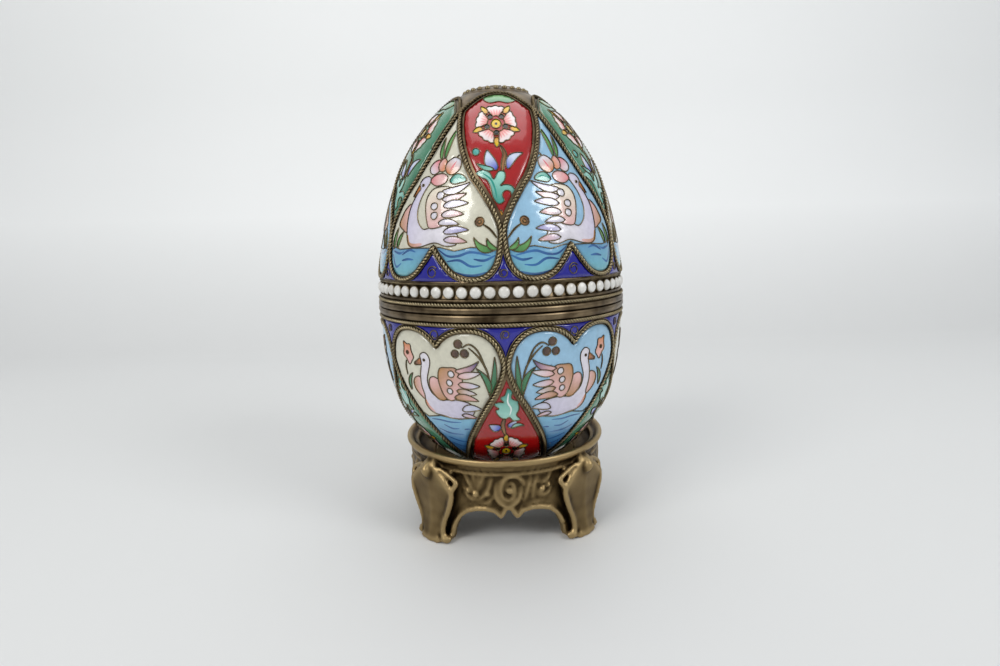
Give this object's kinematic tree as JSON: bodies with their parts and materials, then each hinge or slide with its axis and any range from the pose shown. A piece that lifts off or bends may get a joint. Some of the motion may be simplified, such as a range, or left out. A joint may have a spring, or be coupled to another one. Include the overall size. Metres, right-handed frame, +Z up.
{
  "type": "enamelled egg on a stand",
  "caption": "Egg-shaped box in two halves with enamelled heart and drop panels, twisted wire and a beaded band, standing in a cast brass stand.",
  "frame": {"origin": "on the floor under the middle of the stand", "axes": "+Z up along the egg's axis of symmetry, -Y towards the front between two legs"},
  "size_m": [0.0602, 0.0602, 0.1048],
  "materials": {
    "stand_brass": "cast, aged, brown in the hollows and worn bright on the edges",
    "shell_brass": "aged, dark brown between the wires",
    "wire_brass": "twisted wire, aged and worn bright on its crests",
    "cream_enamel": "opaque glossy enamel",
    "pale_blue_enamel": "opaque glossy enamel",
    "red_enamel": "opaque glossy enamel",
    "green_enamel": "opaque glossy enamel",
    "cobalt_enamel": "glossy translucent-looking enamel, opaque here",
    "white_enamel": "opaque satin enamel"
  },
  "bodies": {
    "root": {"stand": "stand_brass", "base_shell": "shell_brass", "base_wires": "wire_brass", "base_swan_panel_1": "pale_blue_enamel", "base_swan_panel_2": "cream_enamel", "base_swan_panel_3": "pale_blue_enamel", "base_swan_panel_4": "cream_enamel", "base_swan_panel_5": "pale_blue_enamel", "base_swan_panel_6": "cream_enamel", "base_flower_panel_1": "red_enamel", "base_flower_panel_2": "green_enamel", "base_flower_panel_3": "red_enamel", "base_flower_panel_4": "green_enamel", "base_flower_panel_5": "red_enamel", "base_flower_panel_6": "green_enamel", "base_blue_cell_cusp_1": "cobalt_enamel", "base_blue_cell_cusp_2": "cobalt_enamel", "base_blue_cell_cusp_3": "cobalt_enamel", "base_blue_cell_cusp_4": "cobalt_enamel", "base_blue_cell_cusp_5": "cobalt_enamel", "base_blue_cell_cusp_6": "cobalt_enamel", "base_blue_cell_gap_1": "cobalt_enamel", "base_blue_cell_gap_2": "cobalt_enamel", "base_blue_cell_gap_3": "cobalt_enamel", "base_blue_cell_gap_4": "cobalt_enamel", "base_blue_cell_gap_5": "cobalt_enamel", "base_blue_cell_gap_6": "cobalt_enamel", "lid_shell": "shell_brass", "lid_wires": "wire_brass", "lid_swan_panel_1": "pale_blue_enamel", "lid_swan_panel_2": "cream_enamel", "lid_swan_panel_3": "pale_blue_enamel", "lid_swan_panel_4": "cream_enamel", "lid_swan_panel_5": "pale_blue_enamel", "lid_swan_panel_6": "cream_enamel", "lid_flower_panel_1": "red_enamel", "lid_flower_panel_2": "green_enamel", "lid_flower_panel_3": "red_enamel", "lid_flower_panel_4": "green_enamel", "lid_flower_panel_5": "red_enamel", "lid_flower_panel_6": "green_enamel", "lid_blue_cell_cusp_1": "cobalt_enamel", "lid_blue_cell_cusp_2": "cobalt_enamel", "lid_blue_cell_cusp_3": "cobalt_enamel", "lid_blue_cell_cusp_4": "cobalt_enamel", "lid_blue_cell_cusp_5": "cobalt_enamel", "lid_blue_cell_cusp_6": "cobalt_enamel", "lid_blue_cell_gap_1": "cobalt_enamel", "lid_blue_cell_gap_2": "cobalt_enamel", "lid_blue_cell_gap_3": "cobalt_enamel", "lid_blue_cell_gap_4": "cobalt_enamel", "lid_blue_cell_gap_5": "cobalt_enamel", "lid_blue_cell_gap_6": "cobalt_enamel", "lid_pearl_band": "white_enamel", "crown_medallion": "white_enamel"}
  },
  "joints": []
}
